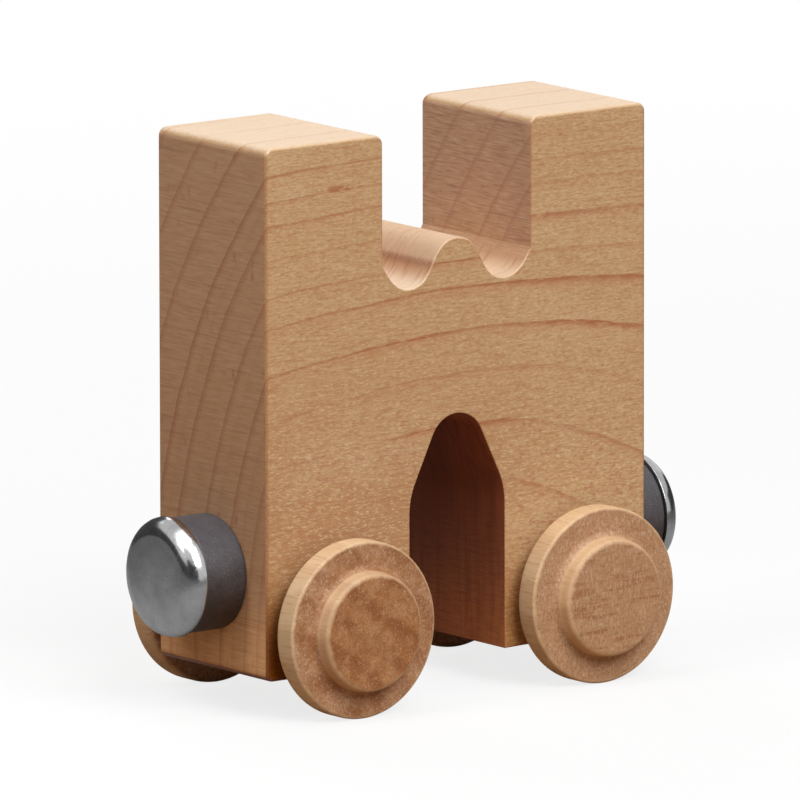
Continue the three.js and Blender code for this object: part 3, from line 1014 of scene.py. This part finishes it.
def smoothed(obj, sharp_angle):
    """Shades an object smooth across its roundings and flat on its flat faces."""
    obj.data.shade_smooth()
    obj.data.set_sharp_from_angle(angle=sharp_angle)
    weighted = obj.modifiers.new("flat faces stay flat", "WEIGHTED_NORMAL")
    weighted.keep_sharp = True
    return settle(obj)


def block_mesh():
    """The block as its outline run through from front to back, each edge rounded by its own radius."""
    outline = block_outline()
    normals = inward_normals(outline)
    half = BLOCK_THICKNESS / 2
    turns = [(-1, turn) for turn in range(EDGE_STEPS, -1, -1)]
    turns += [(1, turn) for turn in range(EDGE_STEPS + 1)]
    made = bmesh.new()
    rounding = made.verts.layers.float.new("rounding")
    rings = []
    for side, turn in turns:
        angle = math.pi / 2 * turn / EDGE_STEPS
        ring = []
        for (x, z, radius), normal in zip(outline, normals):
            inset = radius * (1 - math.cos(angle))
            y = side * (half - radius * (1 - math.sin(angle)))
            vert = made.verts.new((x + normal.x * inset, y, z + normal.y * inset))
            vert[rounding] = math.sin(2 * angle)
            ring.append(vert)
        rings.append(ring)
    count = len(outline)
    for ring, following in zip(rings, rings[1:]):
        for number in range(count):
            after = (number + 1) % count
            made.faces.new((ring[number], ring[after], following[after], following[number]))
    made.faces.new(rings[0])
    made.faces.new(list(reversed(rings[-1])))
    bmesh.ops.remove_doubles(made, verts=made.verts, dist=0.001 * MM)
    bmesh.ops.recalc_face_normals(made, faces=made.faces)
    return finished_mesh("maple_block", made)


def rod(name, start, end, radius, segments):
    """A plain round cutter between two points."""
    made = bmesh.new()
    length = (end - start).length
    bmesh.ops.create_cone(
        made, cap_ends=True, segments=segments, radius1=radius, radius2=radius, depth=length
    )
    turn = (end - start).to_track_quat("Z", "Y").to_matrix().to_4x4()
    bmesh.ops.transform(made, matrix=Matrix.Translation((start + end) / 2) @ turn, verts=made.verts)
    return link(name, finished_mesh(name, made))


def drilled_block(material):
    """The block with its two axle bores and two nail holes."""
    block = link("maple_block", block_mesh())
    past = 2 * MM
    cutters = []
    for side in (-1, 1):
        across = Vector((0, BLOCK_THICKNESS / 2 + past, 0))
        centre = Vector((side * AXLE_PLACE, 0, AXLE_HEIGHT))
        axle_bore = rod("axle_bore", centre - across, centre + across, AXLE_BORE_RADIUS, BORE_SEGMENTS)
        mouth = Vector((side * (BLOCK_END + past), 0, COUPLER_HEIGHT))
        floor = Vector((side * (BLOCK_END - NAIL_HOLE_DEPTH), 0, COUPLER_HEIGHT))
        nail_hole = rod("nail_hole", floor, mouth, NAIL_HOLE_RADIUS, NAIL_HOLE_SEGMENTS)
        cutters += [axle_bore, nail_hole]
    for cutter in cutters:
        cut = block.modifiers.new("cut", "BOOLEAN")
        cut.object = cutter
        cut.operation = "DIFFERENCE"
        cut.solver = "EXACT"
    settle(block)
    for cutter in cutters:
        bpy.data.objects.remove(cutter)
    block.data.materials.clear()
    block.data.materials.append(material)
    return smoothed(block, BLOCK_SHARP_ANGLE)


def turned_tree(name, sizes, corners, closed=False):
    """A node tree that turns a filleted profile about its own Y axis, then sets it in place.

    sizes gives each named input and its value; corners takes the inputs and returns each corner of the
    profile as radius, distance along the axis and fillet."""
    tree = bpy.data.node_groups.new(name, "GeometryNodeTree")
    tree.interface.new_socket("Geometry", in_out="OUTPUT", socket_type="NodeSocketGeometry")

    def add_input(label, kind, value=None):
        socket = tree.interface.new_socket(label, in_out="INPUT", socket_type=f"NodeSocket{kind}")
        if value is not None:
            socket.default_value = value

    for label, value in sizes.items():
        add_input(label, "Float", value)
    add_input("Segments", "Int", TURNED_SEGMENTS)
    add_input("Fillet Steps", "Int", FILLET_STEPS)
    add_input("Place", "Vector")
    add_input("Turn", "Vector")
    add_input("Material", "Material")
    entry = tree.nodes.new("NodeGroupInput")
    given = {socket.name: Flow(tree, socket) for socket in entry.outputs if socket.name}
    flow = Flow(tree)

    profile = corners(given)
    index = flow.node("GeometryNodeInputIndex")
    spots = {0: index}
    fillets = {0: index}
    for number, (radius, along, fillet) in enumerate(profile):
        spots[number + 1] = flow.joined(radius, along, 0.0)
        fillets[number + 1] = fillet
    items = len(profile)
    spot = flow.node("GeometryNodeIndexSwitch", {"data_type": "VECTOR", "items": items}, spots)
    fillet = flow.node("GeometryNodeIndexSwitch", {"data_type": "FLOAT", "items": items}, fillets)
    points = flow.node("GeometryNodePoints", None, {"Count": items, "Position": spot})
    line = flow.node("GeometryNodePointsToCurves", None, {"Points": points})
    if closed:
        line = flow.node("GeometryNodeSetSplineCyclic", None, {"Geometry": line, "Cyclic": True})
    rounded = flow.node("GeometryNodeFilletCurve", {"mode": "POLY"}, {
        "Curve": line, "Count": given["Fillet Steps"], "Radius": fillet, "Limit Radius": True,
    })

    # The rounded profile, swept round as the rows of a grid
    count = flow.node("GeometryNodeAttributeDomainSize", {"component": "CURVE"}, {"Geometry": rounded})
    rows = count + 1 if closed else count
    around = given["Segments"] + 1
    sheet = flow.node("GeometryNodeMeshGrid", None, {"Vertices X": rows, "Vertices Y": around})
    row = (index / around + ROW_NUDGE).maths("FLOOR")
    column = index - row * around
    per_point = {"data_type": "FLOAT_VECTOR", "domain": "POINT"}
    sampled = flow.node("GeometryNodeSampleIndex", per_point, {
        "Geometry": rounded,
        "Value": flow.node("GeometryNodeInputPosition"),
        "Index": row.maths("FLOORED_MODULO", count),
    })
    radius, along, _ = sampled.parts()
    angle = column * (2 * math.pi) / given["Segments"]
    swept = flow.joined(radius * angle.maths("COSINE"), along, radius * angle.maths("SINE"))
    shaped = flow.node("GeometryNodeSetPosition", None, {"Geometry": sheet, "Position": swept})
    merged = flow.node("GeometryNodeMergeByDistance", None, {"Geometry": shaped, "Distance": SEAM_WIDTH})
    kept = flow.node("GeometryNodeStoreNamedAttribute", per_point, {
        "Geometry": merged,
        "Name": "turned_place",
        "Value": flow.node("GeometryNodeInputPosition").in_millimetres(),
    })
    placed = flow.node("GeometryNodeTransform", None, {
        "Geometry": kept, "Translation": given["Place"], "Rotation": given["Turn"],
    })
    plain = flow.node("GeometryNodeRealizeInstances", None, {"Geometry": placed})
    dressed = flow.node("GeometryNodeSetMaterial", None, {
        "Geometry": plain, "Material": given["Material"],
    })
    leave = tree.nodes.new("NodeGroupOutput")
    tree.links.new(dressed.socket, leave.inputs[0])
    return tree


def turned(name, tree, material, place, turn):
    """One piece from a turned tree, as a plain mesh."""
    obj = link(name, bpy.data.meshes.new(name))
    modifier = obj.modifiers.new("turning", "NODES")
    modifier.node_group = tree
    inputs = [item for item in tree.interface.items_tree if item.in_out == "INPUT"]
    identifiers = {item.name: item.identifier for item in inputs}
    modifier[identifiers["Place"]] = place
    modifier[identifiers["Turn"]] = turn
    modifier[identifiers["Material"]] = material
    settle(obj)
    made = bmesh.new()
    made.from_mesh(obj.data)
    bmesh.ops.recalc_face_normals(made, faces=made.faces)
    made.to_mesh(obj.data)
    made.free()
    return smoothed(obj, TURNED_SHARP_ANGLE)


WHEEL_SIZES = {
    "Bore Radius": 2.475 * MM,
    "Bore Floor": BORE_FLOOR,
    "Rub Face": RUB_FACE,
    "Boss Radius": 4.5 * MM,
    "Boss Length": BOSS_LENGTH,
    "Boss Edge": 0.2 * MM,
    "Rim Radius": RIM_RADIUS,
    "Rim Width": RIM_WIDTH,
    "Rim Inner Edge": 0.75 * MM,
    "Rim Outer Edge": RIM_OUTER_EDGE,
    "Hub Radius": HUB_RADIUS,
    "Hub Length": HUB_LENGTH,
    "Hub Edge": HUB_EDGE,
    "Hub Cove": 0.8 * MM,
}


def wheel_corners(size):
    """A wheel's profile: bore, rub boss, rim, cove and hub."""
    rim_inner = size["Rub Face"] + size["Boss Length"]
    rim_outer = rim_inner + size["Rim Width"]
    hub_face = rim_outer + size["Hub Length"]
    return [
        (0.0, size["Bore Floor"], 0.0),
        (size["Bore Radius"], size["Bore Floor"], 0.0),
        (size["Bore Radius"], size["Rub Face"], 0.0),
        (size["Boss Radius"], size["Rub Face"], size["Boss Edge"]),
        (size["Boss Radius"], rim_inner, size["Boss Edge"]),
        (size["Rim Radius"], rim_inner, size["Rim Inner Edge"]),
        (size["Rim Radius"], rim_outer, size["Rim Outer Edge"]),
        (size["Hub Radius"], rim_outer, size["Hub Cove"]),
        (size["Hub Radius"], hub_face, size["Hub Edge"]),
        (0.0, hub_face, 0.0),
    ]


MAGNET_SIZES = {
    "Radius": 6.2 * MM,
    "Thickness": MAGNET_THICKNESS,
    "Hole Radius": 1.7 * MM,
    "Edge": 0.35 * MM,
}


def magnet_corners(size):
    """A ring magnet's profile, standing off the block's end."""
    return [
        (size["Hole Radius"], 0.0, 0.0),
        (size["Radius"], 0.0, size["Edge"]),
        (size["Radius"], size["Thickness"], size["Edge"]),
        (size["Hole Radius"], size["Thickness"], 0.0),
    ]


CAP_SIZES = {
    "Radius": 6.45 * MM,
    "Seam": MAGNET_THICKNESS,
    "Lip": 0.1 * MM,
    "Skirt": 0.15 * MM,
    "Rim": 2.15 * MM,
    "Crown": 0.12 * MM,
    "Nail Radius": NAIL_RADIUS,
    "Nail Depth": NAIL_HOLE_DEPTH - NAIL_CLEARANCE,
    "Nail Point": 2.5 * MM,
}
CROWN_RING = 0.45
CROWN_RING_DROP = 0.25


def cap_corners(size):
    """A capped nail's profile: point, shank, underside, lip, rounded rim and crowned face."""
    face = size["Seam"] + size["Skirt"] + size["Rim"]
    return [
        (0.0, -size["Nail Depth"], 0.0),
        (size["Nail Radius"], size["Nail Point"] - size["Nail Depth"], 0.0),
        (size["Nail Radius"], size["Seam"], 0.0),
        (size["Radius"], size["Seam"], size["Lip"]),
        (size["Radius"], face - size["Crown"], size["Rim"] - size["Crown"]),
        (size["Radius"] * CROWN_RING, face - size["Crown"] * CROWN_RING_DROP, 0.0),
        (0.0, face, 0.0),
    ]


# Where each wheel lay in its stick, in millimetres from the pith, and how hazy its faces are
WHEEL_STICKS = {
    "front_left": ((-22.0, 0.0, 30.0), 0.1),
    "front_right": ((31.0, 40.0, 17.0), 0.5),
    "rear_left": ((3.0, 80.0, 36.0), 0.9),
    "rear_right": ((-28.0, 120.0, -21.0), 0.4),
}


def set_grain(obj, offset, haze):
    """Stores where each point of a wheel lies from the pith of its stick, and its haze."""
    attributes = obj.data.attributes
    attributes.new("grain_place", "FLOAT_VECTOR", "POINT")
    attributes.new("haze", "FLOAT", "POINT")
    for number, here in enumerate(attributes["turned_place"].data):
        attributes["grain_place"].data[number].vector = Vector(here.vector) + Vector(offset)
        attributes["haze"].data[number].value = haze


block_wood = maple_block()
wheel_wood = turned_maple()
axle_wood = birch_dowel()
magnet_stone = ferrite()
cap_metal = plated_steel()

block = drilled_block(block_wood)
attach(block, "car_body")
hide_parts("letter_block")

wheel_tree = turned_tree("turned wheel", WHEEL_SIZES, wheel_corners)
magnet_tree = turned_tree("ring magnet", MAGNET_SIZES, magnet_corners, closed=True)
cap_tree = turned_tree("cap and nail", CAP_SIZES, cap_corners)

for end, side in (("front", -1), ("rear", 1)):
    hub = (side * AXLE_PLACE, 0.0, AXLE_HEIGHT)
    for hand, turn in (("left", math.pi), ("right", 0.0)):
        wheel = turned(f"turned_wheel_{end}_{hand}", wheel_tree, wheel_wood, hub, (0.0, 0.0, turn))
        set_grain(wheel, *WHEEL_STICKS[f"{end}_{hand}"])
        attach(wheel, f"{end}_wheelset")
        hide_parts(f"{end}_{hand}_wheel")
    coupler = (side * BLOCK_END, 0.0, COUPLER_HEIGHT)
    outwards = (0.0, 0.0, -side * math.pi / 2)
    magnet = turned(f"ring_magnet_{end}", magnet_tree, magnet_stone, coupler, outwards)
    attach(magnet, "car_body")
    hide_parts(f"{end}_magnet")
    cap = turned(f"steel_cap_{end}", cap_tree, cap_metal, coupler, outwards)
    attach(cap, "car_body")
    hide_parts(f"{end}_cap_nail")
    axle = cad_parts[f"{end}_axle"]
    axle.data.materials.clear()
    axle.data.materials.append(axle_wood)

# Camera, at the photograph's viewing angle
CAMERA_AZIMUTH = math.radians(-37.314)
CAMERA_ELEVATION = math.radians(10.171)
CAMERA_ROLL = math.radians(-0.096)
CAMERA_DISTANCE = 1.9764
CAMERA_ASIDE = -0.0003
CAMERA_RAISE = -0.00227
CAMERA_CLIP = (0.05, 20.0)
FOCAL_PIXELS = 18537.94
IMAGE_PIXELS = 800
SENSOR = 36.0

# Studio: a low even fill, a white floor that lights the car warmly from below, and soft lamps
WORLD_LEVEL = 0.1
FLOOR_HALF = 3.0
FLOOR_NEAR_LEVEL = 0.5
FLOOR_FAR_LEVEL = 0.25
FLOOR_LEVEL_REACH = (0.07, 0.12)
FLOOR_BOUNCE = (0.64, 0.38, 0.2)
FLOOR_PAPER = 0.95
FLOOR_WHITENING = 0.8
FLOOR_WHITE_REACH = (0.1, 0.45)
WHITE = (1.0, 1.0, 1.0, 1.0)
LAMP_AIM = (0.0, 0.0, 0.03)

# Dark screen for the polished caps to reflect: its height at each angle about the car
CARD_RADIUS = 0.5
CARD_OUTLINE = (
    (-28, 0.2), (15, 0.2), (30, 0.05), (52, 0.06), (60, 0.2), (72, 0.45), (86, 0.45),
    (170, 0.13), (195, 0.13), (202, 0.25), (245, 0.25), (255, 0.13),
)
CARD_STEP = 5
CARD_LEVEL = 0.07


def make_camera():
    """The camera, turned and rolled about its aim near the block's middle."""
    back = Vector((
        math.sin(CAMERA_AZIMUTH) * math.cos(CAMERA_ELEVATION),
        -math.cos(CAMERA_AZIMUTH) * math.cos(CAMERA_ELEVATION),
        math.sin(CAMERA_ELEVATION),
    ))
    level = Vector((0, 0, 1)).cross(back).normalized()
    upright = back.cross(level)
    right = math.cos(CAMERA_ROLL) * level + math.sin(CAMERA_ROLL) * upright
    up = math.cos(CAMERA_ROLL) * upright - math.sin(CAMERA_ROLL) * level
    middle = Vector((0, 0, (BLOCK_BOTTOM + BLOCK_TOP) / 2))
    target = middle + CAMERA_ASIDE * right + CAMERA_RAISE * up
    data = bpy.data.cameras.new("camera")
    data.sensor_width = SENSOR
    data.lens = FOCAL_PIXELS / IMAGE_PIXELS * SENSOR
    data.clip_start, data.clip_end = CAMERA_CLIP
    camera = link("camera", data)
    turn = Matrix((right, up, back)).transposed().to_4x4()
    camera.matrix_world = Matrix.Translation(target + back * CAMERA_DISTANCE) @ turn
    bpy.context.scene.camera = camera


def softbox(name, place, size, watts):
    """A rectangular area lamp at a place, turned towards the car."""
    data = bpy.data.lights.new(name, "AREA")
    data.shape = "RECTANGLE"
    data.size, data.size_y = size
    data.energy = watts
    lamp = link(name, data)
    lamp.location = place
    lamp.rotation_euler = (Vector(LAMP_AIM) - Vector(place)).to_track_quat("-Z", "Y").to_euler()
    return lamp


def stage_material(obj, name):
    """An empty material on a piece of the stage, and the start of its node flow."""
    material = bpy.data.materials.new(name)
    material.use_nodes = True
    material.node_tree.nodes.clear()
    obj.data.materials.append(material)
    return Flow(material.node_tree)


def seen_directly(flow, glossy):
    """1 for rays that look at the background, straight, through glass or, if glossy, in a reflection."""
    rays = flow.node("ShaderNodeLightPath").socket.node.outputs
    seen = Flow(flow.tree, rays["Is Camera Ray"])
    if glossy:
        seen = seen.maths("MAXIMUM", Flow(flow.tree, rays["Is Glossy Ray"]))
    return seen.maths("MAXIMUM", Flow(flow.tree, rays["Is Transmission Ray"]))


def make_world():
    """White where it is looked at, and a low even fill where it lights."""
    world = bpy.data.worlds.new("studio")
    bpy.context.scene.world = world
    world.use_nodes = True
    world.node_tree.nodes.clear()
    flow = Flow(world.node_tree)
    fill = flow.node("ShaderNodeBackground", None, {"Color": WHITE, "Strength": WORLD_LEVEL})
    white = flow.node("ShaderNodeBackground", None, {"Color": WHITE, "Strength": 1.0})
    seen = seen_directly(flow, glossy=True)
    both = flow.node("ShaderNodeMixShader", None, {0: seen, 1: fill, 2: white})
    flow.node("ShaderNodeOutputWorld", None, {"Surface": both})


def make_floor():
    """A pale floor that shows white to the camera and keeps a soft shadow."""
    made = bmesh.new()
    bmesh.ops.create_grid(made, x_segments=1, y_segments=1, size=FLOOR_HALF)
    floor = link("floor", finished_mesh("floor", made))
    flow = stage_material(floor, "floor_paper")
    place = flow.node("ShaderNodeTexCoord", out="Object")
    reach = flow.node("ShaderNodeVectorMath", {"operation": "LENGTH"}, {0: place}, out="Value")
    lighting = reach.step(*FLOOR_LEVEL_REACH).between(FLOOR_NEAR_LEVEL, FLOOR_FAR_LEVEL)
    seen = seen_directly(flow, glossy=False)
    level = lighting + (FLOOR_PAPER - lighting) * seen
    bounced = flow.node("ShaderNodeLightPath", out="Is Diffuse Ray")
    tone = [level * bounced.between(1.0, part) for part in FLOOR_BOUNCE]
    paper = flow.node("ShaderNodeBsdfDiffuse", None, {"Color": flow.joined(*tone)})
    white = flow.node("ShaderNodeEmission", None, {"Color": WHITE, "Strength": 1.0})
    share = seen * reach.step(*FLOOR_WHITE_REACH).between(FLOOR_WHITENING, 1.0)
    both = flow.node("ShaderNodeMixShader", None, {0: share, 1: paper, 2: white})
    flow.node("ShaderNodeOutputMaterial", None, {"Surface": both})


def make_card():
    """A dark curved screen round the car, open before the letter's front, seen only in reflections."""
    made = bmesh.new()
    pairs = []
    for (start, low), (end, high) in zip(CARD_OUTLINE, CARD_OUTLINE[1:]):
        count = max(1, (end - start) // CARD_STEP)
        for number in range(count + (end == CARD_OUTLINE[-1][0])):
            angle = math.radians(start + (end - start) * number / count)
            x = CARD_RADIUS * math.cos(angle)
            y = CARD_RADIUS * math.sin(angle)
            height = low + (high - low) * number / count
            pairs.append((made.verts.new((x, y, 0.0)), made.verts.new((x, y, height))))
    for (low, high), (next_low, next_high) in zip(pairs, pairs[1:]):
        made.faces.new((low, next_low, next_high, high))
    card = link("dark_card", finished_mesh("dark_card", made))
    card.visible_camera = False
    card.visible_diffuse = False
    card.visible_shadow = False
    flow = stage_material(card, "card_black")
    black = flow.node("ShaderNodeEmission", None, {"Color": WHITE, "Strength": CARD_LEVEL})
    flow.node("ShaderNodeOutputMaterial", None, {"Surface": black})


make_camera()
make_world()
make_floor()
make_card()
softbox("front", (-0.09, -0.56, 0.52), (0.45, 0.45), 4.4)
softbox("high_left", (-0.45, 0.0, 0.566), (0.25, 0.5), 1.5)
softbox("overhead", (0.0, -0.05, 0.65), (0.3, 0.3), 0.55)
softbox("back_fill", (0.12, 0.66, 0.3), (0.5, 0.5), 2.0)
rim_shine = softbox("rim_shine", (-0.2, -0.2, 0.68), (0.5, 0.5), 1.8)
rim_shine.visible_diffuse = False

bpy.context.scene.view_settings.view_transform = "Standard"
